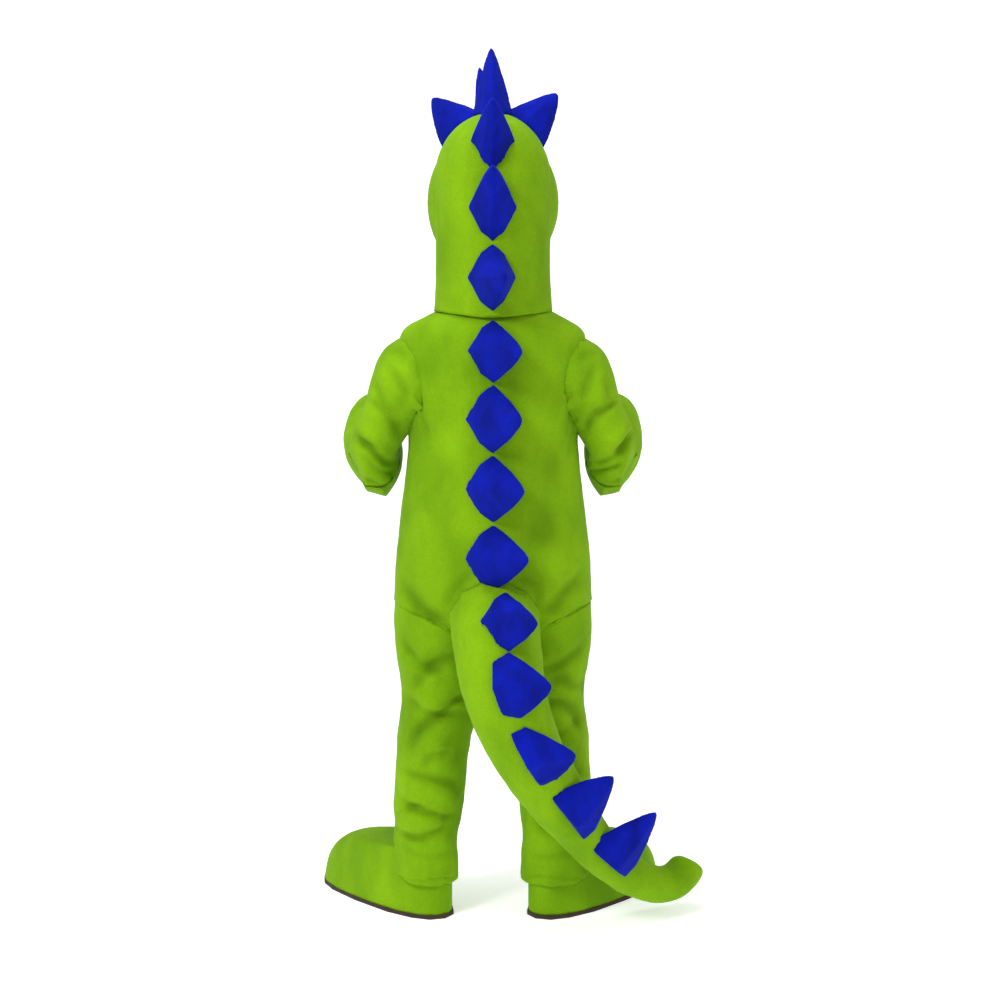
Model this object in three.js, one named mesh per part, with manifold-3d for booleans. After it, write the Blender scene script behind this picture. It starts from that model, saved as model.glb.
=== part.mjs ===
// A plush dinosaur mascot costume, in the hollow form and the pose that it has when it is worn.
// Millimetres, +Z up. The front faces -Y, the wearer's left is +X.
// Heights in the tables are above the floor. The finished group is lowered so that the origin
// lies between the shoulders, where the wearer holds the costume up.

import * as THREE from "three";
import { mergeVertices } from "three/addons/utils/BufferGeometryUtils.js";
import Module from "manifold-3d";

const wasm = await Module();
wasm.setup();

// Driving dimensions
const SHOULDER_REST = 1379;
const WALL = 3;
const SEAM = 0.3;
const ARMHOLE_ROOM = 0.6;
const ARMHOLE_PLUG = 1;
const SHORTEST_EDGE = 0.02;
const TAIL_ROOM = 2.5;
const CROTCH = 574;
const SEAT_TOP = 799;
const CREASE_RISE = 165;
const CREASE_REACH = 200;
const NECK_TOP = 1413;
const TROUSER_HEM = 80;
const SEAT_INSIDE = { half: 110, depth: 152, height: 222 };
const LEG_PLUG = { x: 110, z: 780, share: 0.4 };
const SIDES = { left: 1, right: -1 };

// Torso and leg outline: half width to the outside, depth to the front and back of the side seam,
// and half the depth of one leg
const BODY = [
  { z: 1413, half: 106, front: 90, back: 92, leg: 120 },
  { z: 1408, half: 124, front: 100, back: 101, leg: 120 },
  { z: 1396, half: 147, front: 109, back: 112, leg: 120 },
  { z: 1382, half: 174, front: 117, back: 121, leg: 120 },
  { z: 1371, half: 196, front: 124, back: 127, leg: 120 },
  { z: 1352, half: 211, front: 130, back: 134, leg: 120 },
  { z: 1309, half: 213, front: 138, back: 142, leg: 120 },
  { z: 1209, half: 205, front: 148, back: 148, leg: 120 },
  { z: 1109, half: 193, front: 152, back: 146, leg: 120 },
  { z: 972, half: 209, front: 160, back: 146, leg: 120 },
  { z: 832, half: 224, front: 164, back: 154, leg: 122 },
  { z: 761, half: 228, front: 160, back: 158, leg: 124 },
  { z: 691, half: 232, front: 152, back: 152, leg: 122 },
  { z: 644, half: 231, front: 145, back: 140, leg: 118 },
  { z: 597, half: 224, front: 138, back: 130, leg: 112 },
  { z: 549, half: 215, front: 130, back: 120, leg: 106 },
  { z: 502, half: 212, front: 120, back: 110, leg: 101 },
  { z: 459, half: 217, front: 110, back: 105, leg: 98 },
  { z: 431, half: 225, front: 110, back: 105, leg: 97 },
  { z: 359, half: 228, front: 105, back: 105, leg: 95 },
  { z: 287, half: 231, front: 105, back: 105, leg: 91 },
  { z: 263, half: 237, front: 105, back: 105, leg: 89 },
  { z: 227, half: 231, front: 105, back: 105, leg: 85 },
  { z: 159, half: 234, front: 105, back: 105, leg: 82 },
  { z: 69, half: 236, front: 105, back: 105, leg: 80 },
];

// Distance of each leg's inner side from the middle
const INSEAM = [
  { z: 574, left: 0.15, right: 0.15 },
  { z: 529, left: 14, right: 14 },
  { z: 479, left: 31, right: 29 },
  { z: 431, left: 46, right: 42 },
  { z: 359, left: 61, right: 54 },
  { z: 263, left: 68, right: 60 },
  { z: 216, left: 77, right: 66 },
  { z: 191, left: 84, right: 70 },
  { z: 143, left: 81, right: 64 },
  { z: 69, left: 81, right: 64 },
];

// Largest folds of the trouser legs: where each lies round the leg, its height and how it slants,
// its reach round and along the leg, and its depth, which is below zero in a trough
const LEG_FOLDS = [
  { turn: 0.76, z: 649, slant: 260, reach: 0.13, width: 22, depth: -9 },
  { turn: 0.8, z: 597, slant: 240, reach: 0.12, width: 24, depth: 6 },
  { turn: 0.62, z: 495, slant: -330, reach: 0.16, width: 20, depth: -8 },
  { turn: 0.7, z: 439, slant: -380, reach: 0.18, width: 24, depth: 9 },
  { turn: 0.68, z: 393, slant: -300, reach: 0.14, width: 18, depth: -6 },
  { turn: 0.3, z: 479, slant: 300, reach: 0.18, width: 22, depth: -8 },
  { turn: 0.25, z: 424, slant: 260, reach: 0.18, width: 24, depth: 8 },
  { turn: 0.55, z: 245, slant: 120, reach: 0.2, width: 17, depth: 5 },
  { turn: 0.6, z: 214, slant: 160, reach: 0.2, width: 14, depth: -8 },
  { turn: 0.86, z: 205, slant: -140, reach: 0.16, width: 14, depth: -7 },
  { turn: 0.75, z: 169, slant: 90, reach: 0.22, width: 15, depth: 6 },
  { turn: 0.66, z: 137, slant: -120, reach: 0.14, width: 12, depth: -6 },
  { turn: 0.2, z: 159, slant: 100, reach: 0.22, width: 16, depth: -7 },
  { turn: 0.25, z: 199, slant: -80, reach: 0.22, width: 16, depth: 7 },
];

// Sleeve sections from inside the armhole to the cuff: the middle of the tube, then its radius
// across the arm and its radius along Y or, past the elbow, up and down
const SLEEVE = [
  { x: 146, y: 0, z: 1245, across: 112, along: 84 },
  { x: 188, y: 0, z: 1233, across: 111, along: 104 },
  { x: 222, y: 0, z: 1195, across: 74, along: 92 },
  { x: 251, y: 0, z: 1147, across: 59, along: 78 },
  { x: 275, y: -6, z: 1101, across: 62, along: 74 },
  { x: 278, y: -30, z: 1065, across: 66, along: 76 },
  { x: 277, y: -70, z: 1054, across: 68, along: 74 },
  { x: 281, y: -116, z: 1073, across: 70, along: 70 },
  { x: 289, y: -160, z: 1103, across: 68, along: 68 },
  { x: 295, y: -210, z: 1137, across: 61, along: 62 },
  { x: 287, y: -256, z: 1157, across: 55, along: 56 },
];
const ELBOW = 0.5;

// Largest folds of the sleeves, as for the legs, with places along the sleeve from 0 to 1
const SLEEVE_FOLDS = [
  { turn: 0.68, v: 0.54, slant: 0, reach: 0.08, width: 0.09, depth: 22 },
  { turn: 0.88, v: 0.52, slant: 0, reach: 0.1, width: 0.1, depth: -34 },
  { turn: 0.6, v: 0.43, slant: 0.4, reach: 0.13, width: 0.024, depth: -9 },
  { turn: 0.66, v: 0.5, slant: 0.3, reach: 0.1, width: 0.022, depth: -7 },
  { turn: 0.64, v: 0.2, slant: -0.5, reach: 0.08, width: 0.05, depth: -8 },
  { turn: 0.5, v: 0.62, slant: 0.2, reach: 0.14, width: 0.04, depth: -7 },
  { turn: 0.26, v: 0.52, slant: 0, reach: 0.16, width: 0.1, depth: -26 },
];

// Hood sections up to the crown: half width, depth to the back and to the front
const HOOD = [
  { z: 1709, half: 132, back: 146, front: 131 },
  { z: 1669, half: 133, back: 147, front: 132 },
  { z: 1609, half: 132, back: 144, front: 131 },
  { z: 1543, half: 131, back: 139, front: 130 },
  { z: 1489, half: 132, back: 136, front: 130 },
  { z: 1430, half: 134, back: 134, front: 130 },
  { z: 1409, half: 137, back: 133, front: 130 },
  { z: 1381, half: 137, back: 132, front: 130 },
];
const CROWN_START = 1709;
const CROWN_HEIGHT = 142;
const CROWN = { half: 132, back: 146, front: 131 };
const HOOD_HEM_SIDE = 1405;
const HOOD_HEM_BACK = 1388;

// Head front: an egg with cheeks, and a blunt muzzle
const FACE = { y: -70, z: 1654, half: 157, front: 165, back: 150, up: 178, down: 172 };
const VISION = { z: 1599, half: 84, height: 52, depth: 120 };

// Boots: foot axis from the heel, turned out
const FOOT = {
  heelX: { left: 158, right: 145 },
  heelY: 4,
  turnOut: THREE.MathUtils.degToRad(38),
  heelBack: 74,
  toeReach: 380,
  heelHalf: 72,
  toeHalf: 98,
  ankle: 70,
  height: 160,
  collar: 187,
  sole: 9,
  welt: 2,
  groove: THREE.MathUtils.degToRad(20),
  grooveDepth: 9,
};

// Tail sections from inside the seat to the blunt tip: middle, radius, and the way its upper
// side faces, as a turn from straight back towards straight up
const TAIL = [
  { x: 0, y: 60, z: 731, radius: 100, rise: 30 },
  { x: -4, y: 118, z: 715, radius: 102, rise: 20 },
  { x: -9, y: 168, z: 671, radius: 101, rise: 12 },
  { x: -15, y: 204, z: 617, radius: 99, rise: 6 },
  { x: -28, y: 226, z: 559, radius: 94, rise: 4 },
  { x: -47, y: 234, z: 497, radius: 87, rise: 6 },
  { x: -74, y: 232, z: 437, radius: 81, rise: 12 },
  { x: -106, y: 222, z: 379, radius: 76, rise: 20 },
  { x: -143, y: 206, z: 322, radius: 71, rise: 30 },
  { x: -183, y: 182, z: 262, radius: 60, rise: 30 },
  { x: -225, y: 152, z: 202, radius: 52, rise: 34 },
  { x: -273, y: 118, z: 149, radius: 48, rise: 38 },
  { x: -325, y: 82, z: 101, radius: 45, rise: 44 },
  { x: -376, y: 48, z: 75, radius: 43, rise: 52 },
  { x: -418, y: 20, z: 72, radius: 43, rise: 64 },
  { x: -448, y: 0, z: 90, radius: 42, rise: 80 },
  { x: -463, y: -12, z: 114, radius: 40, rise: 80 },
];

// Spikes along the middle of the back: what carries each, how far along that carrier's ridge its
// base starts, the length and width of the base, and the tip
const SPIKES = [
  { on: "face", start: 34, length: 118, width: 90, tip: [33, -135, 1975] },
  { on: "hood", start: 0, length: 150, width: 100, tip: [4, -12, 1999] },
  { on: "hood", start: 152, length: 154, width: 104, tip: [0, 226, 1855] },
  { on: "hood", start: 308, length: 152, width: 106, tip: [-1, 262, 1706] },
  { on: "hood", start: 462, length: 152, width: 106, tip: [-27, 262, 1473] },
  { on: "body", start: 0, length: 146, width: 106, tip: [-62, 262, 1315] },
  { on: "body", start: 148, length: 154, width: 105, tip: [-62, 262, 1165] },
  { on: "body", start: 304, length: 154, width: 104, tip: [-68, 262, 1012] },
  { on: "body", start: 460, length: 152, width: 103, tip: [-78, 266, 863] },
  { on: "tail", start: 122, length: 150, width: 100, tip: [-96, 330, 737] },
  { on: "tail", start: 274, length: 150, width: 98, tip: [-128, 335, 600] },
  { on: "tail", start: 438, length: 150, width: 94, tip: [-181, 300, 444] },
  { on: "tail", start: 614, length: 148, width: 84, tip: [-269, 228, 377] },
  { on: "tail", start: 784, length: 146, width: 74, tip: [-371, 152, 276] },
];
const SPIKE_SUNK = 34;
const SPIKE_BLUNT = 0.2;
const SPIKE_LEAF = 2.1;

// Side horns of the head: middle of the base, its length and width, and the tip
const HORN = {
  base: [68, -50, 1824],
  slope: [0.89, 0, -0.454],
  length: 128,
  width: 80,
  room: 2,
  leaf: 1.1,
  tips: { left: [139, -60, 1893], right: [148, -60, 1904] },
};

// Placket over the front closure
const PLACKET = { half: 20, top: 1350, bottom: 806, thick: 3 };

// How many facets each piece has round and along
const FACETS = {
  body: 7,
  leg: 14,
  legRows: 15,
  sleeve: 12,
  hood: 18,
  face: 16,
  tail: 12,
  spike: 8,
};

const plushGreen = new THREE.MeshStandardMaterial({ color: 0x8fc31a, roughness: 0.95, metalness: 0 });
const plushBlue = new THREE.MeshStandardMaterial({ color: 0x0a1fb4, roughness: 0.9, metalness: 0 });
const soleBrown = new THREE.MeshStandardMaterial({ color: 0x2a1712, roughness: 0.8, metalness: 0 });

const costume = new THREE.Group();
costume.position.z = -SHOULDER_REST;

// A column of a table at a height, on a smooth curve through its rows, which run downwards
function column(table, name, z) {
  const last = table.length - 1;
  if (z >= table[0].z) return table[0][name];
  if (z <= table[last].z) return table[last][name];
  const below = table.findIndex((row) => row.z < z);
  const above = below - 1;
  const slope = (i) => {
    const p = table[Math.max(i - 1, 0)];
    const q = table[Math.min(i + 1, last)];
    return (q[name] - p[name]) / (q.z - p.z);
  };
  const span = table[below].z - table[above].z;
  const t = (z - table[above].z) / span;
  return (
    (2 * t ** 3 - 3 * t ** 2 + 1) * table[above][name] +
    (t ** 3 - 2 * t ** 2 + t) * span * slope(above) +
    (3 * t ** 2 - 2 * t ** 3) * table[below][name] +
    (t ** 3 - t ** 2) * span * slope(below)
  );
}

const between = (a, b, count) => Array.from({ length: count + 1 }, (_, i) => a + ((b - a) * i) / count);
const clamp = THREE.MathUtils.clamp;
const bump = (distance, reach) => Math.exp(-((distance / reach) ** 2));

// Solids

function solidOf(triangles, shortest = 1e-3) {
  const soup = new THREE.BufferGeometry().setFromPoints(triangles.flat());
  const merged = mergeVertices(soup, shortest);
  const index = merged.index.array;
  const kept = [];
  for (let i = 0; i < index.length; i += 3) {
    const [a, b, c] = index.slice(i, i + 3);
    if (a !== b && b !== c && c !== a) kept.push(a, b, c);
  }
  const solid = (corners) =>
    new wasm.Manifold(
      new wasm.Mesh({
        numProp: 3,
        vertProperties: merged.attributes.position.array,
        triVerts: new Uint32Array(corners),
      }),
    );
  const made = solid(kept);
  return made.volume() > 0 ? made : solid(kept.reverse());
}

// The strip of cloth's edge between two rows, each square split along its shorter diagonal
function edgeStrip(low, high) {
  const faces = [];
  for (let i = 1; i < low.length; i++) {
    const [a, b, c, d] = [low[i - 1], low[i], high[i], high[i - 1]];
    if (a.distanceTo(c) <= b.distanceTo(d)) faces.push([a, b, c], [a, c, d]);
    else faces.push([a, b, d], [b, c, d]);
  }
  return faces;
}

function quads(rows) {
  const faces = [];
  for (let j = 1; j < rows.length; j++)
    for (let i = 1; i < rows[j].length; i++) {
      const [a, b, c, d] = [rows[j - 1][i - 1], rows[j - 1][i], rows[j][i], rows[j][i - 1]];
      faces.push([a, b, c], [a, c, d]);
    }
  return faces;
}

const turned = (faces) => faces.map(([a, b, c]) => [a, c, b]);

// A cloth wall between an outer and an inner grid of points. A tube's rows end where they start.
function wall(outer, inner, tube) {
  const faces = [...quads(outer), ...turned(quads(inner))];
  const last = outer.length - 1;
  faces.push(...edgeStrip(inner[0], outer[0]), ...edgeStrip(outer[last], inner[last]));
  if (!tube) {
    const edge = (grid, i) => grid.map((row) => row.at(i));
    faces.push(...edgeStrip(edge(outer, 0), edge(inner, 0)), ...edgeStrip(edge(inner, -1), edge(outer, -1)));
  }
  return solidOf(faces);
}

// The whole space inside a tube's grid, closed at both ends by a fan
function filled(rows) {
  const fan = (row) => {
    const middle = new THREE.Vector3();
    row.slice(1).forEach((p) => middle.addScaledVector(p, 1 / (row.length - 1)));
    return row.slice(1).map((p, i) => [row[i], p, middle]);
  };
  return solidOf([...quads(rows), ...turned(fan(rows[0])), ...fan(rows.at(-1))]);
}

// The largest body that a cut leaves
const largest = (solid) => solid.decompose().sort((a, b) => b.volume() - a.volume())[0];

// A solid with its shortest edges merged, without the slivers that this sets free
function settled(solid) {
  const { vertProperties, numProp, triVerts } = solid.getMesh();
  const corner = (i) => new THREE.Vector3().fromArray(vertProperties, i * numProp);
  const faces = [];
  for (let i = 0; i < triVerts.length; i += 3) faces.push([...triVerts.slice(i, i + 3)].map(corner));
  return largest(solidOf(faces, SHORTEST_EDGE));
}

// A solid cut back by its neighbours, with some room from them on every side
function clearOf(solid, room, ...others) {
  const ways = [0, 1, 2].flatMap((axis) => [-room, room].map((way) => [0, 0, 0].with(axis, way)));
  ways.push([0, 0, 0]);
  const cuts = others.flatMap((other) => ways.map((way) => other.translate(way)));
  return settled(cuts.reduce((left, cut) => left.subtract(cut), solid));
}

const gridOf = (turns, stations, point) => stations.map((v) => turns.map((u) => point(u, v)));
const roundTurns = (count) => between(0, 1, count);

function piece(name, solid, material) {
  const mesh = solid.getMesh();
  const geometry = new THREE.BufferGeometry();
  geometry.setAttribute("position", new THREE.BufferAttribute(mesh.vertProperties, mesh.numProp));
  geometry.setIndex(new THREE.BufferAttribute(mesh.triVerts, 1));
  geometry.computeVertexNormals();
  const made = new THREE.Mesh(geometry, material);
  made.name = name;
  costume.add(made);
}

// Body surface. A turn runs from the middle of the front over the outside to the middle of the
// back, and for a leg on to its inner side. A row is a height at the middle, and it rises at the
// outside, so that the row at the crotch follows the diagonal crease of the hip.

function riseAt(turn, row) {
  return CREASE_RISE * bump(row - CROTCH, CREASE_REACH) * Math.sin(Math.PI * clamp(turn, 0, 1));
}

function legFold(turn, z, row) {
  const below = clamp((CROTCH - row) / 40, 0, 1);
  const depth = (f) => {
    const round = turn - f.turn - Math.round(turn - f.turn);
    return f.depth * bump(round, f.reach) * bump(z - f.z - f.slant * round, f.width);
  };
  return below * LEG_FOLDS.reduce((sum, f) => sum + depth(f), 0);
}

function bodyMiddle(side, turn, row) {
  if (row < CROTCH) turn -= Math.floor(turn) * (turn !== 1);
  else if (turn < 0 || turn > 1) {
    const mirrored = bodyMiddle(side, turn < 0 ? -turn : 2 - turn, row);
    mirrored.x *= -1;
    return mirrored;
  }
  const z = row + riseAt(turn, row);
  const outside = column(BODY, "half", row + riseAt(0.5, row));
  const inside = row < CROTCH ? column(INSEAM, side, row) : 0;
  const leg = column(BODY, "leg", z) + legFold(turn, z, row);
  const middle = (outside + inside) / 2;
  const reach = (outside - inside) / 2 + legFold(turn, z, row);
  const round = 2 * Math.PI * turn;
  const ring = [middle - reach * Math.cos(round), -leg * Math.sin(round)];
  if (row <= CROTCH) return new THREE.Vector3(SIDES[side] * ring[0], ring[1], z);
  const half = Math.PI * turn;
  const depth = column(BODY, turn < 0.5 ? "front" : "back", z);
  const arc = [column(BODY, "half", z) * Math.sin(half), -depth * Math.cos(half)];
  const down = clamp((SEAT_TOP - row) / (SEAT_TOP - CROTCH), 0, 1);
  const split = 1 - Math.sqrt(1 - down ** 2);
  const x = THREE.MathUtils.lerp(arc[0], ring[0], split);
  const y = THREE.MathUtils.lerp(arc[1], ring[1], split);
  return new THREE.Vector3(SIDES[side] * x, y, z);
}

// A point of the body, moved out by a distance along the outward normal
function bodyPoint(side, turn, row, out) {
  if (row === CROTCH) return bodyPoint(side, turn, CROTCH - 0.01, out);
  const step = 0.004;
  const rise = 1.5;
  const upper = row >= CROTCH;
  const low = upper ? Math.max(row - rise, CROTCH) : row - rise;
  const high = upper ? row + rise : Math.min(row + rise, CROTCH);
  const round = bodyMiddle(side, turn + step, row).sub(bodyMiddle(side, turn - step, row));
  const up = bodyMiddle(side, turn, high).sub(bodyMiddle(side, turn, low));
  const normal = round.cross(up).normalize().multiplyScalar(SIDES[side]);
  return bodyMiddle(side, turn, row).addScaledVector(normal, out);
}

const seatRows = between(0, Math.PI / 2, 6).map((a) => SEAT_TOP - (SEAT_TOP - CROTCH) * Math.sin(a));
const torsoRows = [
  ...[NECK_TOP, 1407, 1396, 1382, 1370, 1352, 1310, 1250, 1180, 1109, 1040, 960, 880],
  ...seatRows,
];
const seamTurn = 0.00025;

function lifted(rows, distance) {
  rows.flat().forEach((p) => (p.z += distance));
  return rows;
}

// The torso all round, from the left front over the back to the right front
function torsoRound(out) {
  const turns = between(0, 2, 4 * FACETS.body);
  const point = (u, row) =>
    u <= 1 ? bodyPoint("left", u, row, out) : bodyPoint("right", 2 - u, row, out);
  return gridOf(turns, torsoRows, (u, row) => point(u % 2, row));
}

function panel(turns, point) {
  const grid = (out) => lifted(gridOf(turns, torsoRows, (u, row) => point(u, row, out)), SEAM / 2);
  return wall(grid(0), grid(-WALL), false);
}

const torsoOutside = filled(torsoRound(SEAM));
const torsoHollow = filled(torsoRound(-WALL));

const frontTurns = between(seamTurn, 0.5 - seamTurn, FACETS.body);
const backTurns = between(0.5 + seamTurn, 1.5 - seamTurn, 2 * FACETS.body);
const backPoint = (u, row, out) =>
  u <= 1 ? bodyPoint("left", u, row, out) : bodyPoint("right", 2 - u, row, out);

let back = panel(backTurns, backPoint);

const fronts = {};
for (const side of Object.keys(SIDES)) {
  const half = panel(frontTurns, (u, row, out) => bodyPoint(side, u, row, out));
  fronts[side] = half.translate([SIDES[side] * SEAM, 0, 0]);
}

// Tubes along a row of sections: sleeves and tail

// A table's columns as curves through its rows
function curveOf(table, names) {
  const at = (name, v) => {
    const place = clamp(v, 0, 1) * (table.length - 1);
    const i = Math.min(Math.floor(place), table.length - 2);
    const t = place - i;
    const value = (k) => table[clamp(k, 0, table.length - 1)][name];
    const [p, a, b, q] = [value(i - 1), value(i), value(i + 1), value(i + 2)];
    const bend = t * (b - p) + t * t * (2 * p - 5 * a + 4 * b - q) + t ** 3 * (3 * a - p - 3 * b + q);
    return a + bend / 2;
  };
  return (v) => Object.fromEntries(names.map((name) => [name, at(name, v)]));
}

const placeOf = ({ x, y, z }) => new THREE.Vector3(x, y, z);

function headingAt(curve, v) {
  const step = 0.01;
  return placeOf(curve(Math.min(v + step, 1))).sub(placeOf(curve(Math.max(v - step, 0)))).normalize();
}

const sleeveCurve = curveOf(SLEEVE, ["x", "y", "z", "across", "along"]);

// The sleeve's own directions at a place along it: across the arm, and round its side
function sleeveFrame(v) {
  const across = new THREE.Vector3(0.3, 0, 0.95);
  const steps = 24;
  let heading;
  for (let i = 0; i <= steps; i++) {
    heading = headingAt(sleeveCurve, (v * i) / steps);
    across.addScaledVector(heading, -across.dot(heading)).normalize();
  }
  return { across, along: heading.clone().cross(across) };
}

function sleeveFold(turn, v) {
  const depth = (f) => {
    const round = turn - f.turn - Math.round(turn - f.turn);
    return f.depth * bump(round, f.reach) * bump(v - f.v - f.slant * round, f.width);
  };
  return SLEEVE_FOLDS.reduce((sum, f) => sum + depth(f), 0);
}

function sleeveGrid(side, stations, out) {
  const rows = stations.map((v) => {
    const section = sleeveCurve(v);
    const frame = sleeveFrame(v);
    return roundTurns(FACETS.sleeve).map((turn) => {
      const round = 2 * Math.PI * turn;
      const more = out + sleeveFold(turn % 1, v);
      const point = placeOf(section)
        .addScaledVector(frame.across, (section.across + more) * Math.cos(round))
        .addScaledVector(frame.along, (section.along + more) * Math.sin(round));
      point.x *= SIDES[side];
      return point;
    });
  });
  return rows;
}

const seamAlong = 0.00025;
const upperStations = between(0, ELBOW - seamAlong, 9);
const lowerStations = between(ELBOW + seamAlong, 1, 7);
const sleeves = {};
for (const side of Object.keys(SIDES)) {
  const tube = (stations) => wall(sleeveGrid(side, stations, 0), sleeveGrid(side, stations, -WALL), true);
  const rows = sleeveGrid(side, upperStations, ARMHOLE_ROOM);
  const inward = new THREE.Vector3(-SIDES[side] * ARMHOLE_PLUG, 0, 0);
  const outside = filled([rows[0].map((p) => p.clone().add(inward)), ...rows]);
  const upper = tube(upperStations).subtract(torsoHollow);
  sleeves[side] = { upper, lower: clearOf(tube(lowerStations), SEAM, upper) };
  back = back.subtract(outside);
  fronts[side] = fronts[side].subtract(outside);
}

// Legs

// Height of the trouser hem round the leg: it climbs over the instep
function hemHeight(side, turn) {
  const facing = 2 * Math.PI * turn - Math.PI / 2;
  const front = (1 + Math.cos(facing - FOOT.turnOut)) / 2;
  return TROUSER_HEM + 58 * front ** 2;
}

function legRow(side, turn, v) {
  return THREE.MathUtils.lerp(CROTCH - 0.01, hemHeight(side, turn), v);
}

function legGrid(side, out) {
  const rows = between(0, 1, FACETS.legRows);
  const point = (turn, v) => bodyPoint(side, turn, legRow(side, turn, v), out);
  return lifted(gridOf(roundTurns(FACETS.leg), rows, point), -SEAM);
}

// The whole space inside a leg, plugged into the seat above it
function legForm(side, out) {
  const rows = legGrid(side, out);
  const heart = new THREE.Vector3(SIDES[side] * LEG_PLUG.x, 0, LEG_PLUG.z);
  return filled([rows[0].map((p) => p.clone().lerp(heart, LEG_PLUG.share)), ...rows]);
}

const legs = {};
const legsOutside = {};
for (const side of Object.keys(SIDES)) {
  legs[side] = wall(legGrid(side, 0), legGrid(side, -WALL), true);
  legsOutside[side] = legForm(side, SEAM);
}

// Hood

// The hood's back, middle and front follow half ellipses over the crown
function hoodSection(station) {
  if (station <= 1) {
    const z = THREE.MathUtils.lerp(HOOD_HEM_BACK, CROWN_START, station);
    const [half, back, front] = ["half", "back", "front"].map((name) => column(HOOD, name, z));
    return { z, half, back, front, level: 1, lift: 0 };
  }
  const climb = ((station - 1) * Math.PI) / 2;
  const shrink = Math.cos(climb);
  return {
    z: CROWN_START + CROWN_HEIGHT * Math.sin(climb),
    half: CROWN.half * shrink,
    back: CROWN.back * shrink,
    front: CROWN.front * shrink,
    level: shrink,
    lift: Math.sin(climb),
  };
}

function hoodPoint(turn, station, out) {
  const s = hoodSection(station);
  const round = 2 * Math.PI * turn;
  const depth = Math.cos(round) > 0 ? s.back : s.front;
  const hem = bump(station, 0.12) * (HOOD_HEM_SIDE - HOOD_HEM_BACK) * Math.abs(Math.sin(round));
  return new THREE.Vector3(
    (s.half + out * s.level) * Math.sin(round),
    (depth + out * s.level) * Math.cos(round),
    s.z + out * s.lift + hem,
  );
}

const hoodStations = [...between(0, 1, 6), ...between(1, 2, 6).slice(1)];
const hoodGrid = (out) => gridOf(roundTurns(FACETS.hood).map((u) => 1 - u), hoodStations, (u, v) => hoodPoint(u, v, out));
const hoodOutside = filled(hoodGrid(SEAM));
const hoodHollow = filled(hoodGrid(-WALL));

// Head front: an egg whose rings run from the tip of the muzzle to the back
function facePoint(turn, climb, out) {
  const round = 2 * Math.PI * turn;
  const wide = Math.sin(climb);
  const upright = Math.cos(round) > 0 ? FACE.up : FACE.down;
  const depth = Math.cos(climb) > 0 ? FACE.front : FACE.back;
  return new THREE.Vector3(
    (FACE.half + out) * wide * Math.sin(round),
    FACE.y - (depth + out) * Math.cos(climb),
    FACE.z + (upright + out) * wide * Math.cos(round),
  );
}

const faceClimbs = between(0, 144, 8).map(THREE.MathUtils.degToRad);
const faceGrid = (out, climbs) =>
  gridOf(roundTurns(FACETS.face), climbs, (u, climb) => facePoint(u, climb, out));
const faceOutside = filled(faceGrid(SEAM, [...faceClimbs, 2.85, Math.PI]));

const vision = new THREE.CylinderGeometry(1, 1, VISION.depth, 24).toNonIndexed();
vision.scale(VISION.half, 1, VISION.height / 2).translate(0, FACE.y - FACE.front, VISION.z);
const visionCut = solidOf(cornersOf(vision));

const headBack = wall(hoodGrid(0), hoodGrid(-WALL), true).subtract(faceOutside).subtract(torsoOutside);
const headFace = wall(faceGrid(0, faceClimbs), faceGrid(-WALL, faceClimbs), true)
  .subtract(hoodHollow)
  .subtract(visionCut);

function cornersOf(geometry) {
  const at = geometry.attributes.position;
  const corner = (i) => new THREE.Vector3().fromBufferAttribute(at, i);
  return Array.from({ length: at.count / 3 }, (_, i) => [corner(3 * i), corner(3 * i + 1), corner(3 * i + 2)]);
}

// Boots

const signedPower = (value, power) => Math.sign(value) * Math.abs(value) ** power;

// A point of the foot's outline at a level, from 0 at the sole to 1 where the ankle starts
function footPoint(side, turn, level, z, out) {
  const near = Math.cos((level * Math.PI) / 2);
  const reach = FOOT.ankle + (FOOT.toeReach - FOOT.ankle) * near ** 0.62;
  const behind = FOOT.ankle + (FOOT.heelBack - FOOT.ankle) * near;
  const round = 2 * Math.PI * turn;
  const square = 2 / (2 + 0.5 * near);
  const toward = (1 + Math.cos(round)) / 2;
  const foot = THREE.MathUtils.lerp(FOOT.heelHalf, FOOT.toeHalf, toward ** 0.8);
  const half = THREE.MathUtils.lerp(FOOT.ankle, foot, near ** 0.5) + out;
  const grooves = bump(round - FOOT.groove, 0.1) + bump(round - 2 * Math.PI + FOOT.groove, 0.1);
  const notch = FOOT.grooveDepth * grooves * near ** 0.5;
  const along = (reach - behind) / 2 + ((reach + behind) / 2 + out) * signedPower(Math.cos(round), square) - notch;
  const across = half * signedPower(Math.sin(round), square);
  const [s, c] = [Math.sin(FOOT.turnOut), Math.cos(FOOT.turnOut)];
  return new THREE.Vector3(
    SIDES[side] * (FOOT.heelX[side] + along * s + across * c),
    FOOT.heelY - along * c + across * s,
    z,
  );
}

const footTurns = [
  ...[0, 12, 20, 28, 44, 64, 88, 112, 136, 158, 180].map((a) => a / 360),
  ...[158, 136, 112, 88, 64, 44, 28, 20, 12, 0].map((a) => 1 - a / 360),
];
const soleTop = FOOT.sole + SEAM;

function bootGrid(side, out) {
  const foot = between(0, 1, 5).map((level) => {
    const z = soleTop + (FOOT.height + out - soleTop) * Math.sin((level * Math.PI) / 2);
    return footTurns.map((u) => footPoint(side, u, level, z, out));
  });
  const collar = footTurns.map((u) => footPoint(side, u, 1, FOOT.collar, out));
  return [...foot, collar];
}

const boots = {};
const soles = {};
for (const side of Object.keys(SIDES)) {
  boots[side] = wall(bootGrid(side, 0), bootGrid(side, -WALL), true);
  soles[side] = filled([0, FOOT.sole].map((z) => footTurns.map((u) => footPoint(side, u, 0, z, FOOT.welt))));
  legs[side] = clearOf(legs[side].subtract(filled(bootGrid(side, SEAM))), SEAM, boots[side]);
}

// Tail

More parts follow.
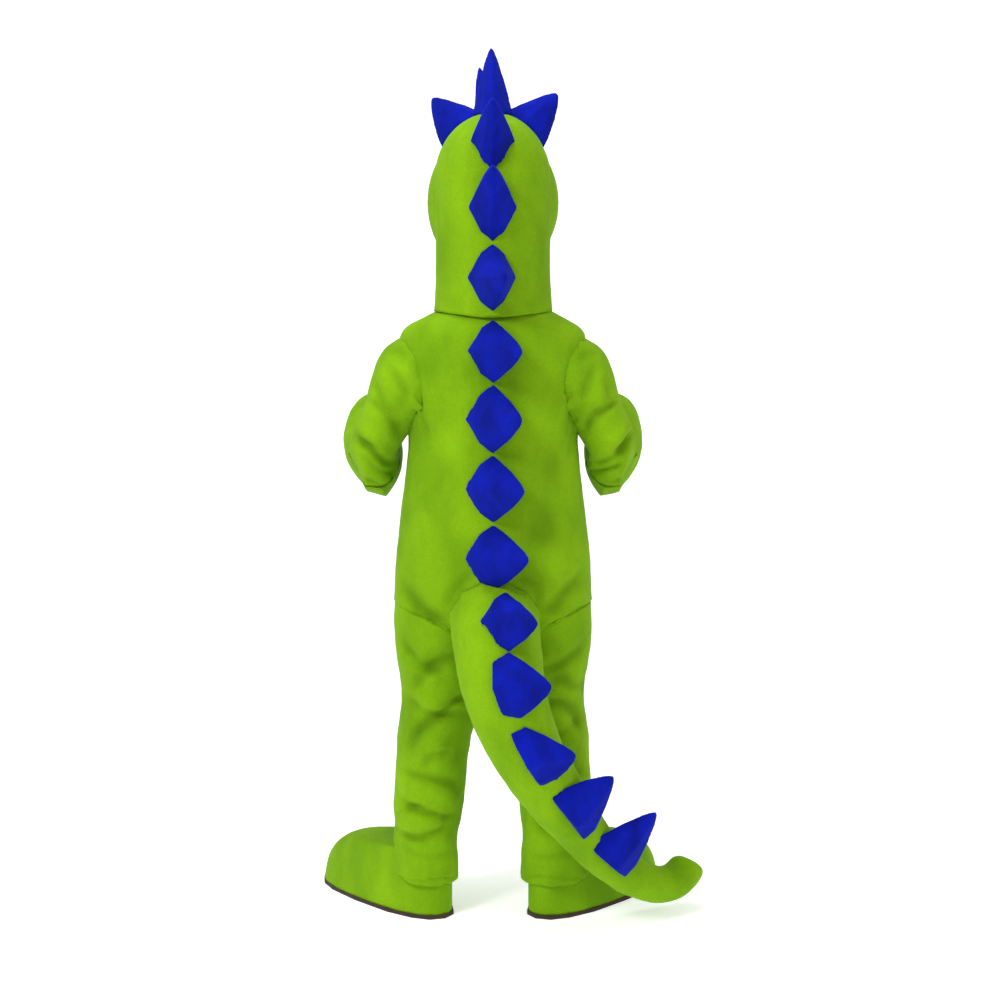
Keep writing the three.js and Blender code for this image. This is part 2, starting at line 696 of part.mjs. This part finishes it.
const tailCurve = curveOf(TAIL, ["x", "y", "z", "radius", "rise"]);

// The tail's own directions: out of its ridge, and to its side
function tailFrame(v) {
  const section = tailCurve(v);
  const rise = THREE.MathUtils.degToRad(section.rise);
  const heading = headingAt(tailCurve, v);
  const ridge = new THREE.Vector3(-0.25 * Math.cos(rise), Math.cos(rise), Math.sin(rise));
  ridge.addScaledVector(heading, -ridge.dot(heading)).normalize();
  return { section, ridge, aside: heading.clone().cross(ridge) };
}

function tailPoint(turn, v, out) {
  const { section, ridge, aside } = tailFrame(v);
  const round = 2 * Math.PI * turn;
  const tip = Math.sqrt(1 - clamp((v - 0.965) / 0.035, 0, 1) ** 2 * 0.7);
  return placeOf(section)
    .addScaledVector(ridge, (section.radius * tip + out) * Math.cos(round))
    .addScaledVector(aside, (section.radius * tip + out) * Math.sin(round));
}

const tailStations = [...between(0, 0.94, 18), 0.97, 0.99, 1];
const tailGrid = (out) => gridOf(roundTurns(FACETS.tail), tailStations, (u, v) => tailPoint(u, v, out));
const tailOutside = filled(tailGrid(SEAM));
const seatBall = new THREE.SphereGeometry(1, 24, 16).toNonIndexed();
seatBall.scale(SEAT_INSIDE.half, SEAT_INSIDE.depth, SEAT_INSIDE.height).translate(0, 0, SEAT_TOP);
const seatInside = solidOf(cornersOf(seatBall));
const bodyOutside = [torsoOutside, legsOutside.left, legsOutside.right, seatInside].reduce((sum, solid) =>
  sum.add(solid),
);
const tailClear = filled(torsoRound(TAIL_ROOM)).add(legForm("left", TAIL_ROOM)).add(legForm("right", TAIL_ROOM));
const tail = settled(filled(tailGrid(0)).subtract(tailClear).subtract(bodyOutside));

// Spikes

// The ridge line of each carrier, as close steps with the distance from its start
const RIDGES = {
  face: { from: 100, to: 40, point: (a) => facePoint(0, THREE.MathUtils.degToRad(a), 0) },
  hood: { from: -0.385, to: 2, point: (v) => hoodPoint(v < 0 ? 0.5 : 0, 2 - Math.abs(v), 0) },
  body: { from: HOOD_HEM_BACK - 2, to: CROTCH + 100, point: (z) => bodyMiddle("left", 1, z) },
  tail: { from: 0, to: 1, point: (v) => tailPoint(0, v, 0) },
};

const ridges = {};
for (const [name, line] of Object.entries(RIDGES)) {
  const points = between(line.from, line.to, 400).map(line.point);
  let distance = 0;
  ridges[name] = points.map((point, i) => {
    if (i) distance += point.distanceTo(points[i - 1]);
    return { point, distance };
  });
}

function ridgePoint(name, distance) {
  const after = ridges[name].findIndex((step) => step.distance >= distance);
  return ridges[name][after < 0 ? ridges[name].length - 1 : after].point;
}

// A stuffed spike: a leaf-shaped base sunk into its carrier, and a blunt tip
function spikeForm(start, end, tip, width, leaf) {
  const middle = start.clone().add(end).multiplyScalar(0.5);
  const along = end.clone().sub(start);
  const half = along.length() / 2;
  along.normalize();
  const up = tip.clone().sub(middle);
  up.addScaledVector(along, -up.dot(along)).normalize();
  const aside = along.clone().cross(up);
  const ring = (level) => {
    const size = level < 0 ? 1 : (1 - level) ** 0.86 * (1 - SPIKE_BLUNT) + SPIKE_BLUNT * Math.sqrt(1 - level ** 2);
    const at = level < 0 ? middle.clone().addScaledVector(up, -SPIKE_SUNK) : middle.clone().lerp(tip, level);
    return roundTurns(FACETS.spike).map((turn) => {
      const round = 2 * Math.PI * turn;
      const x = half * size * Math.cos(round);
      const y = (width / 2) * size * signedPower(Math.sin(round), leaf);
      return at.clone().addScaledVector(along, x).addScaledVector(aside, y);
    });
  };
  return filled([-1, 0, 0.45, 0.8, 0.94, 0.99].map(ring));
}

// The form of a spike of the table, with some room round it
function tableSpike({ on, start, length, width, tip }, room) {
  const [first, last] = [ridgePoint(on, start - room), ridgePoint(on, start + length + room)];
  return spikeForm(first, last, new THREE.Vector3(...tip), width + 2 * room, SPIKE_LEAF);
}

const headOutside = hoodOutside.add(faceOutside);
const carriers = {
  face: headOutside,
  hood: headOutside,
  body: bodyOutside.add(hoodOutside).add(tailOutside),
  tail: tailOutside.add(bodyOutside),
};
const spikes = SPIKES.map((spike) => settled(tableSpike(spike, 0).subtract(carriers[spike.on])));

const besideHorns = tableSpike(SPIKES[1], HORN.room);
const horns = {};
for (const side of Object.keys(SIDES)) {
  const mirror = new THREE.Vector3(SIDES[side], 1, 1);
  const base = new THREE.Vector3(...HORN.base);
  const lean = new THREE.Vector3(...HORN.slope).normalize().multiplyScalar(HORN.length / 2);
  const [start, end] = [-1, 1].map((way) => base.clone().addScaledVector(lean, way).multiply(mirror));
  const tip = new THREE.Vector3(...HORN.tips[side]).multiply(mirror);
  const form = spikeForm(start, end, tip, HORN.width, HORN.leaf);
  horns[side] = settled(form.subtract(headOutside).subtract(besideHorns));
}

// Placket over the closure of the front

const placketTurn = (x, row) => Math.asin(Math.abs(x) / column(BODY, "half", row)) / Math.PI;
const placketGrid = (out) =>
  gridOf(between(-PLACKET.half, PLACKET.half, 2), between(PLACKET.bottom, PLACKET.top, 12), (x, row) => {
    const side = x < 0 ? "right" : "left";
    return bodyPoint(side, placketTurn(x, row), Math.max(row, SEAT_TOP - 60), out);
  });
const strip = wall(placketGrid(SEAM + PLACKET.thick), placketGrid(-WALL), false).subtract(torsoOutside);
const placket = clearOf(strip, SEAM, fronts.left, fronts.right);

// The costume

piece("head_back", headBack, plushGreen);
piece("head_face", headFace, plushGreen);
piece("back", back, plushGreen);
piece("front_placket", placket, plushGreen);
piece("tail", tail, plushGreen);
for (const side of Object.keys(SIDES)) {
  piece("front_" + side, fronts[side], plushGreen);
  piece("sleeve_upper_" + side, sleeves[side].upper, plushGreen);
  piece("sleeve_lower_" + side, sleeves[side].lower, plushGreen);
  piece("leg_" + side, legs[side], plushGreen);
  piece("boot_" + side, boots[side], plushGreen);
  piece("sole_" + side, soles[side], soleBrown);
  piece("horn_" + side, horns[side], plushBlue);
}
spikes.forEach((solid, i) => piece("spike_" + String(i).padStart(2, "0"), solid, plushBlue));

export default costume;
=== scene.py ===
# A plush dinosaur mascot costume, seen from the back in its worn form.
# Metres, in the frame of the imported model: +X is the wearer's left, the back faces +Y.

import math

import bmesh
import bpy
import numpy as np
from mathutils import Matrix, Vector, noise


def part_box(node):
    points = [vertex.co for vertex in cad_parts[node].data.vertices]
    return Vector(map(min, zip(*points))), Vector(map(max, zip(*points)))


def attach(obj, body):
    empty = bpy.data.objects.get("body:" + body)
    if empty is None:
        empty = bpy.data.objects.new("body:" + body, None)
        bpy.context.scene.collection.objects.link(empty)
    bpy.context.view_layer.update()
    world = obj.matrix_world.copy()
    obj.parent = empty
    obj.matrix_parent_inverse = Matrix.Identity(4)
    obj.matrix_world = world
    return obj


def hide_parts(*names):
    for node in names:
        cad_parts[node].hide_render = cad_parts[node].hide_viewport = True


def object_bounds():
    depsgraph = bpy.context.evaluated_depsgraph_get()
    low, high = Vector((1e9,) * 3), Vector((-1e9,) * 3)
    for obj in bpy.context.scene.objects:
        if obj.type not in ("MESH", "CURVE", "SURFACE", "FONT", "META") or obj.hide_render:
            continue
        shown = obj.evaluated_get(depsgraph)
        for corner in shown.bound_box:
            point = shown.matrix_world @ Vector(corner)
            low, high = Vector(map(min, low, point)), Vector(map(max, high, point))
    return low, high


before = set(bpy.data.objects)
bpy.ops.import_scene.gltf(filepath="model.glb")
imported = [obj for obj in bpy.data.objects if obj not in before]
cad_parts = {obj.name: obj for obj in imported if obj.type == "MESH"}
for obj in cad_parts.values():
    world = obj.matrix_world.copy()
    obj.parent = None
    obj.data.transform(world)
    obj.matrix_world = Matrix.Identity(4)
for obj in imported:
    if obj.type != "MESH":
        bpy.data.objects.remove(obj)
cad_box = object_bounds()

# Camera
# It stands behind the costume at the photograph's distance and height, and looks a little down.
camera = bpy.data.objects.new("camera", bpy.data.cameras.new("camera"))
bpy.context.scene.collection.objects.link(camera)
camera.location = (-0.0161, 4.2, -0.020)
camera.rotation_euler = (math.radians(90 - 5.283), 0, math.radians(180))
camera.data.lens = 65.74
camera.data.sensor_width = 36
bpy.context.scene.camera = camera


# Studio
# A pale sweep runs under the soles and rises 8 m in front of the costume, as paper does in a photo studio. It
# stands well past the camera's distance from the costume.
# Large soft lamps behind the camera give the faint shadows that the photograph shows.
FLOOR = cad_box[0][2]


def colour(text):
    channels = [int(text[i : i + 2], 16) / 255 for i in (1, 3, 5)]
    linear = [c / 12.92 if c <= 0.04045 else ((c + 0.055) / 1.055) ** 2.4 for c in channels]
    return (*linear, 1)


def add_object(name, data):
    made = bpy.data.objects.new(name, data)
    bpy.context.scene.collection.objects.link(made)
    return made


def studio_sweep():
    half, near, far, height, bend = 6.0, 5.0, -6.8, 4.0, 1.2
    steps = 16
    profile = [(near, FLOOR)]
    for i in range(steps + 1):
        angle = math.radians(90 * i / steps)
        profile.append((far - bend * math.sin(angle), FLOOR + bend * (1 - math.cos(angle))))
    profile.append((far - bend, FLOOR + height))
    corners = [(x, y, z) for y, z in profile for x in (-half, half)]
    faces = [(2 * i, 2 * i + 1, 2 * i + 3, 2 * i + 2) for i in range(len(profile) - 1)]
    mesh = bpy.data.meshes.new("studio_sweep")
    mesh.from_pydata(corners, [], faces)
    mesh.shade_smooth()
    paper = bpy.data.materials.new("matt studio paper")
    paper.use_nodes = True
    shader = paper.node_tree.nodes["Principled BSDF"]
    shader.inputs["Base Color"].default_value = colour("#fbfbfb")
    shader.inputs["Roughness"].default_value = 1.0
    shader.inputs["Emission Color"].default_value = colour("#ffffff")
    shader.inputs["Emission Strength"].default_value = 0.42
    mesh.materials.append(paper)
    return add_object("studio_sweep", mesh)


def soft_lamp(name, place, aim, size, power):
    lamp = bpy.data.lights.new(name, "AREA")
    lamp.size = size
    lamp.energy = power
    made = add_object(name, lamp)
    made.location = place
    made.rotation_euler = (Vector(aim) - Vector(place)).to_track_quat("-Z", "Y").to_euler()


studio_sweep()
soft_lamp("lamp_key", (2.4, 2.9, 2.3), (0, 0, -0.5), 1.1, 105)
soft_lamp("lamp_fill", (-3.2, 2.6, 0.8), (0, 0, -0.6), 2.0, 26)
soft_lamp("lamp_top", (0.3, 0.4, 3.2), (0, 0, -0.8), 1.8, 70)
world = bpy.data.worlds.new("soft room light")
world.use_nodes = True
world.node_tree.nodes["Background"].inputs["Color"].default_value = colour("#ffffff")
world.node_tree.nodes["Background"].inputs["Strength"].default_value = 0.5
bpy.context.scene.world = world
bpy.context.scene.view_settings.view_transform = "Standard"


# Torso
# Back and front panels and a placket of short-pile plush on a thin foam backing, sewn with plain
# seams and turned. The pile is brushed down, so it shades in soft patches and glows at the edges.


def plush(name, dark, light, glow, patch_size, nap):
    """Short-pile plush: patches where the pile lies the other way, fibres as bumps, and painted
    shade in the folds, the base colour darkened by the crease depth that sculpt stores."""
    made = bpy.data.materials.new(name)
    made.use_nodes = True
    nodes = made.node_tree.nodes
    link = made.node_tree.links.new
    shader = nodes["Principled BSDF"]
    place = nodes.new("ShaderNodeTexCoord").outputs["Object"]

    def cloud(size, detail, stretch=1.0):
        mapping = nodes.new("ShaderNodeMapping")
        mapping.inputs["Scale"].default_value = (1, 1, stretch)
        link(place, mapping.inputs["Vector"])
        texture = nodes.new("ShaderNodeTexNoise")
        texture.inputs["Scale"].default_value = 1 / size
        texture.inputs["Detail"].default_value = detail
        link(mapping.outputs["Vector"], texture.inputs["Vector"])
        return texture.outputs["Fac"]

    patches = nodes.new("ShaderNodeValToRGB")
    patches.color_ramp.elements[0].position = 0.32
    patches.color_ramp.elements[0].color = colour(dark)
    patches.color_ramp.elements[1].position = 0.68
    patches.color_ramp.elements[1].color = colour(light)
    link(cloud(patch_size, 4, 0.6), patches.inputs["Fac"])
    fibres = nodes.new("ShaderNodeMixRGB")
    fibres.blend_type = "OVERLAY"
    fibres.inputs["Fac"].default_value = 0.28
    link(patches.outputs["Color"], fibres.inputs["Color1"])
    link(cloud(nap * 1.6, 2, 0.5), fibres.inputs["Color2"])
    # Painted shade in the creases: the colour is multiplied towards a grey-green by the stored crease weight.
    painted_crease_shade = nodes.new("ShaderNodeMixRGB")
    painted_crease_shade.blend_type = "MULTIPLY"
    painted_crease_shade.inputs["Color2"].default_value = colour("#8c9a80")
    painted_fold_shade = nodes.new("ShaderNodeAttribute")
    painted_fold_shade.attribute_name = "painted_fold_shade"
    link(painted_fold_shade.outputs["Fac"], painted_crease_shade.inputs["Fac"])
    link(fibres.outputs["Color"], painted_crease_shade.inputs["Color1"])
    link(painted_crease_shade.outputs["Color"], shader.inputs["Base Color"])

    coarse = nodes.new("ShaderNodeBump")
    coarse.inputs["Distance"].default_value = 0.0016
    coarse.inputs["Strength"].default_value = 0.45
    link(cloud(nap * 9, 3, 0.7), coarse.inputs["Height"])
    fine = nodes.new("ShaderNodeBump")
    fine.inputs["Distance"].default_value = 0.0007
    fine.inputs["Strength"].default_value = 0.7
    link(cloud(nap, 2, 0.5), fine.inputs["Height"])
    link(coarse.outputs["Normal"], fine.inputs["Normal"])
    link(fine.outputs["Normal"], shader.inputs["Normal"])
    shader.inputs["Roughness"].default_value = 0.92
    shader.inputs["Specular IOR Level"].default_value = 0.12
    shader.inputs["Sheen Weight"].default_value = 0.16
    shader.inputs["Sheen Roughness"].default_value = 0.45
    shader.inputs["Sheen Tint"].default_value = colour(glow)
    return made


# The pile is drawn at 1.2 mm, coarser than the real 0.4 mm, so that it still shows from here
green = plush("green plush, brushed pile", "#669406", "#7dac0a", "#b4dc50", 0.11, 0.0012)


def cage(node):
    """A CAD node's own mesh, copied, with its triangles joined back into four-sided patches."""
    made = bmesh.new()
    made.from_mesh(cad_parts[node].data)
    bmesh.ops.remove_doubles(made, verts=made.verts, dist=2e-5)
    bmesh.ops.join_triangles(
        made, faces=made.faces, angle_face_threshold=math.radians(40), angle_shape_threshold=math.radians(60)
    )
    return made


def settle(obj):
    """Applies the modifiers' result to the mesh, so that none is left on the piece."""
    graph = bpy.context.evaluated_depsgraph_get()
    result = bpy.data.meshes.new_from_object(obj.evaluated_get(graph))
    obj.modifiers.clear()
    obj.data = result


def cloth_skin(node, levels):
    """A rounded copy of a cloth wall: its cut edges stay sharp, its facets become one smooth skin."""
    form = cage(node)
    crease = form.edges.layers.float.new("crease_edge")
    for edge in form.edges:
        if len(edge.link_faces) == 2 and edge.calc_face_angle() > math.radians(52):
            edge[crease] = 1
    mesh = bpy.data.meshes.new(node + "_cloth")
    form.to_mesh(mesh)
    form.free()
    made = add_object(node + "_cloth", mesh)
    rounding = made.modifiers.new("rounding", "SUBSURF")
    rounding.levels = levels
    rounding.render_levels = levels
    settle(made)
    return made


def outward(places, normals, axis):
    """Normals turned away from the piece's middle line, so that both sides of a wall move alike."""
    ends = np.array(axis, float)
    best = np.full(len(places), np.inf)
    middle = np.zeros_like(places)
    for a, b in zip(ends[:-1], ends[1:]):
        along = b - a
        share = np.clip(((places - a) @ along) / (along @ along), 0, 1)
        near = a + share[:, None] * along
        distance = np.linalg.norm(places - near, axis=1)
        closer = distance < best
        best[closer] = distance[closer]
        middle[closer] = near[closer]
    side = np.sign(np.einsum("ij,ij->i", places - middle, normals))
    return normals * side[:, None]


def crease_depth(places, facing, creases):
    """How far soft creases, each a straight or bent trough seen from the back, press the cloth in."""
    total = np.zeros(len(places))
    sway = np.array([noise.noise_vector(Vector(p) / 0.07) for p in places])[:, [0, 2]] * 0.014
    for x0, z0, x1, z1, bow, width, depth in creases:
        start = np.array([x0, z0]) / 1000
        along = np.array([x1, z1]) / 1000 - start
        length = np.linalg.norm(along)
        along /= length
        across = np.array([-along[1], along[0]])
        seen = places[:, [0, 2]] + sway - start
        place = (seen @ along) / length
        middle = bow / 1000 * 4 * place * (1 - place)
        gap = seen @ across - middle
        taper = np.clip(np.minimum(place, 1 - place) * 4 + 0.15, 0, 1) * ((place > 0) & (place < 1))
        trough = np.exp(-((gap / (width / 1000)) ** 2))
        shoulder = np.exp(-(((gap - width / 450) / (width / 800)) ** 2))
        total += depth / 1000 * taper * (trough - 0.5 * shoulder)
    return total * np.clip(facing * 1.6, 0, 1)


CREASE_GAIN = 1.7


def sculpt(obj, axis, creases=(), plump=0.0, lumps=0.0012, lump_size=0.09):
    """Moves the cloth along its outward normals: listed creases, then the slack of soft cloth."""
    mesh = obj.data
    count = len(mesh.vertices)
    places = np.empty(count * 3)
    normals = np.empty(count * 3)
    mesh.vertices.foreach_get("co", places)
    mesh.vertices.foreach_get("normal", normals)
    places = places.reshape(-1, 3)
    out = outward(places, normals.reshape(-1, 3), axis)
    slack = np.array([noise.noise(Vector(p) / lump_size) for p in places])
    ripple = np.array([noise.noise(Vector(p) / (lump_size * 0.3)) for p in places])
    pressed = CREASE_GAIN * crease_depth(places, out[:, 1], creases)
    move = plump + lumps * (slack + 0.45 * ripple) - pressed
    mesh.vertices.foreach_set("co", (places + out * move[:, None]).ravel())
    # Painted crease shade: the crease depth is kept per vertex as a weight, up to 0.5, by which the plush
    # darkens its base colour.
    painted_fold_shade = np.clip(pressed / 0.022, 0, 0.5)
    mesh.attributes.new("painted_fold_shade", "FLOAT", "POINT").data.foreach_set("value", painted_fold_shade)
    mesh.update()
    mesh.shade_smooth()


def finish_piece(obj, material, slot, *nodes):
    obj.data.materials.clear()
    obj.data.materials.append(material)
    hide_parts(*nodes)
    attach(obj, "root")
    return obj


def cloth(node, axis, levels, creases=(), plump=0.0, lumps=0.0012):
    """A cloth piece: the node's wall rounded, pressed with its creases, lumped with slack and dressed in green
    plush.
    """
    made = cloth_skin(node, levels)
    sculpt(made, axis, creases, plump, lumps)
    finish_piece(made, green, "green_plush", node)
    return made


TORSO_AXIS = [(0, 0, 0.06), (0, 0, -0.84)]
# Creases: x and z of both ends, how far the middle bows, the trough's width and its depth, in mm
TORSO_CREASES = [
    (190, -92, 176, -300, 8, 16, 4.2),
    (196, -150, 150, -262, -8, 12, 3.2),
    (212, -590, 96, -668, 16, 20, 5.2),
    (216, -655, 92, -772, -14, 15, 5.4),
    (120, -300, 74, -560, 16, 34, 2.6),
    (-190, -92, -178, -300, -8, 16, 4.0),
    (-196, -170, -150, -270, 8, 12, 3.0),
    (-212, -560, -96, -650, -16, 20, 4.8),
    (-216, -650, -94, -768, 14, 15, 5.2),
    (-124, -280, -92, -540, -16, 34, 2.4),
    (104, -640, 34, -560, -16, 13, 2.6),
    (-104, -640, -40, -562, 16, 13, 2.4),
]
cloth("back", TORSO_AXIS, 3, TORSO_CREASES, 0.0008, 0.0022)
cloth("front_left", TORSO_AXIS, 2, (), 0.0008, 0.0022)
cloth("front_right", TORSO_AXIS, 2, (), 0.0008, 0.0022)
cloth("front_placket", TORSO_AXIS, 1, (), 0.0, 0.0004)


# Sleeves
# Two-part sleeves of the same plush, set into the armholes and seamed above the elbow, where the
# bent arm bunches the cloth into deep folds. The cuffs are open and plain.
ARM_LINE = [(0.146, 0, -0.134), (0.222, 0, -0.184), (0.275, -0.006, -0.278), (0.278, -0.03, -0.314)]
FOREARM_LINE = [(0.278, -0.03, -0.314), (0.277, -0.07, -0.325), (0.289, -0.16, -0.276), (0.287, -0.26, -0.222)]
SLEEVE_CREASES = [
    (316, -262, 218, -330, 10, 9, 6.0),
    (300, -312, 206, -350, 8, 8, 5.5),
    (334, -226, 262, -296, 12, 10, 5.0),
    (290, -160, 206, -262, -10, 11, 4.6),
    (236, -96, 196, -180, -8, 12, 4.0),
    (262, -120, 214, -212, 10, 10, 3.4),
    (330, -300, 262, -372, 14, 9, 4.0),
    (252, -60, 196, -90, -8, 14, 2.6),
]
for side, way in (("left", 1), ("right", -1)):
    arm = [(way * x, y, z) for x, y, z in ARM_LINE]
    forearm = [(way * x, y, z) for x, y, z in FOREARM_LINE]
    folds = [(way * x0, z0, way * x1, z1, way * bow, w, d) for x0, z0, x1, z1, bow, w, d in SLEEVE_CREASES]
    cloth("sleeve_upper_" + side, arm, 3, folds, 0.0022, 0.0026)
    cloth("sleeve_lower_" + side, forearm, 3, folds, 0.0022, 0.0026)


# Trouser legs
# Wide tubes of the same plush that hang from the crotch and stack up over the boots, with a
# turned hem that two rows of stitching hold. They fold behind the knee and above the hem.
LEG_CREASES = {
    "left": [
        (40, -836, 190, -972, 18, 15, 7.0),
        (60, -896, 206, -858, -16, 12, 5.0),
        (52, -752, 196, -846, 18, 17, 5.6),
        (216, -716, 96, -792, 10, 15, 4.6),
        (212, -1028, 70, -1078, -14, 13, 5.2),
        (228, -1090, 84, -1134, 14, 11, 6.0),
        (96, -1146, 232, -1172, -14, 11, 5.4),
        (150, -1110, 234, -1140, 8, 9, 4.4),
        (222, -1200, 92, -1222, 10, 10, 1.6),
        (90, -978, 170, -1014, 10, 12, 3.6),
        (80, -1284, 240, -1284, 0, 3, 1.4),
    ],
    "right": [
        (-90, -850, -226, -936, -16, 15, 6.4),
        (-112, -806, -230, -858, -14, 12, 5.2),
        (-104, -944, -222, -896, 12, 12, 4.8),
        (-216, -716, -96, -792, -10, 15, 4.6),
        (-212, -1034, -84, -1072, 12, 13, 5.0),
        (-228, -1088, -84, -1130, -14, 11, 5.8),
        (-84, -1142, -226, -1170, 12, 11, 5.2),
        (-222, -1206, -84, -1226, -10, 10, 1.6),
        (-72, -1284, -240, -1284, 0, 3, 1.4),
    ],
}
for side, way, area in (("left", 1, 0.314), ("right", -1, 0.32)):
    line = [(way * 0.11, 0, -0.62), (way * 0.13, 0, -0.95), (way * 0.155, 0, -1.32)]
    cloth("leg_" + side, line, 3, LEG_CREASES[side], 0.002, 0.0028)


# Head
# A deep hood of the same plush over foam, and a round head front with cheeks and a vision
# opening. The foam holds both taut, so they show only shallow dents.
HOOD_CREASES = [
    (124, 70, 60, 26, 8, 18, 1.6),
    (-124, 74, -66, 30, -8, 18, 1.6),
    (130, 180, 96, 70, 12, 22, 1.4),
]
HEAD_AXIS = [(0, 0, 0.0), (0, 0, 0.33)]
cloth("head_back", HEAD_AXIS, 3, HOOD_CREASES, 0.0014, 0.0016)
cloth("head_face", [(0, -0.07, 0.24), (0, -0.07, 0.3)], 2, (), 0.0014, 0.0012)


# Boots
# Stuffed-looking plush uppers with two stitched toe grooves, on dark moulded rubber soles whose
# edge shows as a thin line at the floor.
for side, way, heel in (("left", 1, 0.158), ("right", -1, 0.145)):
    foot = [(way * heel, 0.004, -1.3), (way * (heel + 0.17), -0.21, -1.33)]
    cloth("boot_" + side, foot, 3, (), 0.0016, 0.0016)


def moulded_rubber():
    """Dark rubber with the fine matt grain of its mould, a little worn to brown at the edge."""
    made = bpy.data.materials.new("dark moulded rubber, matt grain")
    made.use_nodes = True
    nodes = made.node_tree.nodes
    link = made.node_tree.links.new
    shader = nodes["Principled BSDF"]
    place = nodes.new("ShaderNodeTexCoord").outputs["Object"]
    grain = nodes.new("ShaderNodeTexNoise")
    grain.inputs["Scale"].default_value = 700
    link(place, grain.inputs["Vector"])
    wear = nodes.new("ShaderNodeTexNoise")
    wear.inputs["Scale"].default_value = 24
    link(place, wear.inputs["Vector"])
    tone = nodes.new("ShaderNodeValToRGB")
    tone.color_ramp.elements[0].color = colour("#1d100c")
    tone.color_ramp.elements[1].color = colour("#43281d")
    link(wear.outputs["Fac"], tone.inputs["Fac"])
    link(tone.outputs["Color"], shader.inputs["Base Color"])
    bump = nodes.new("ShaderNodeBump")
    bump.inputs["Distance"].default_value = 0.0003
    link(grain.outputs["Fac"], bump.inputs["Height"])
    link(bump.outputs["Normal"], shader.inputs["Normal"])
    shader.inputs["Roughness"].default_value = 0.75
    return made


rubber = moulded_rubber()
for side in ("left", "right"):
    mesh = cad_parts["sole_" + side].data
    mesh.materials.clear()
    mesh.materials.append(rubber)


# Tail
# A long cone of the same plush, stuffed firm with fibre and sewn to the seat. Its blunt end turns up from the
# floor, and its cloth has small random lumps.
def stuffed(node, axis, levels, material, slot, lumps, lump_size, plump):
    form = cage(node)
    crease = form.edges.layers.float.new("crease_edge")
    for edge in form.edges:
        if len(edge.link_faces) == 2 and edge.calc_face_angle() > math.radians(58):
            edge[crease] = 0.8
    mesh = bpy.data.meshes.new(node + "_stuffed")
    form.to_mesh(mesh)
    form.free()
    made = add_object(node + "_stuffed", mesh)
    rounding = made.modifiers.new("rounding", "SUBSURF")
    rounding.levels = levels
    rounding.render_levels = levels
    settle(made)
    sculpt(made, axis, (), plump, lumps, lump_size)
    finish_piece(made, material, slot, node)
    return made


TAIL_AXIS = [
    (0, 0.06, -0.648),
    (-0.009, 0.168, -0.708),
    (-0.028, 0.226, -0.82),
    (-0.074, 0.232, -0.942),
    (-0.143, 0.206, -1.057),
    (-0.232, 0.152, -1.17),
    (-0.33, 0.082, -1.27),
    (-0.42, 0.02, -1.308),
    (-0.467, -0.012, -1.268),
]
stuffed("tail", TAIL_AXIS, 3, green, "green_plush", 0.0024, 0.07, 0.0022)


# Spikes and horns
# Leaf-shaped cones of royal blue plush, each of two halves sewn along the middle, turned and
# stuffed firm, and slip-stitched down the back in one line. The pile is denser and darker.
blue = plush("royal blue plush, dense pile", "#03107c", "#0518a4", "#2c50f0", 0.05, 0.001)


def remeshed_spike(node):
    """The spike's solid remeshed at 3 mm and eased, which leaves firm edges with soft corners."""
    form = cage(node)
    mesh = bpy.data.meshes.new(node + "_stuffed")
    form.to_mesh(mesh)
    form.free()
    made = add_object(node + "_stuffed", mesh)
    grid = made.modifiers.new("grid", "REMESH")
    grid.mode = "VOXEL"
    grid.voxel_size = 0.003
    ease = made.modifiers.new("ease", "SMOOTH")
    ease.factor = 0.5
    ease.iterations = 12
    settle(made)
    low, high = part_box(node)
    middle = [(a + b) / 2 for a, b in zip(low, high)]
    axis = [middle, [middle[0], middle[1], middle[2] + 0.001]]
    sculpt(made, axis, (), 0.0008, 0.001, 0.03)
    finish_piece(made, blue, "blue_plush", node)


for node in sorted(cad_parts):
    if node.startswith(("spike_", "horn_")):
        remeshed_spike(node)
